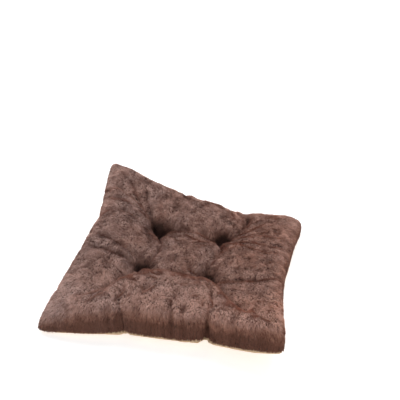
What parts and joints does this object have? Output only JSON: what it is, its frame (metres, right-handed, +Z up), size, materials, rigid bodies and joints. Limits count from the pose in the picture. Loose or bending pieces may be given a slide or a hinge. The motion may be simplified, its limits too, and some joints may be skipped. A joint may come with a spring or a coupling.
{
  "type": "pet cushion bed",
  "caption": "Square tufted floor cushion for a pet: plush top panel and velour underside sewn round the edge, loose fibre filling, drawn in by thread ties.",
  "frame": {"origin": "centre of the cushion's box, on the surface it lies on", "axes": "+Z up out of the plush top, -Y towards the front edge, +X to the right of someone facing the front edge"},
  "size_m": [0.4904, 0.504, 0.1089],
  "materials": {
    "brown_plush": "long brown polyester plush pile, lying brushed, soft sheen",
    "cream_velour": "short cream velour pile, matte",
    "white_fibre": "loose white polyester fibre",
    "seam_thread": "spun polyester sewing thread",
    "tuft_thread": "thick brown upholstery thread"
  },
  "bodies": {
    "root": {"plush_top_panel": "brown_plush", "velour_bottom_panel": "cream_velour", "fibre_fill": "white_fibre", "edge_seam_thread": "seam_thread", "closing_seam_thread": "seam_thread", "tuft_thread_front_left": "tuft_thread", "tuft_thread_front_right": "tuft_thread", "tuft_thread_back_left": "tuft_thread", "tuft_thread_back_right": "tuft_thread"}
  },
  "joints": []
}
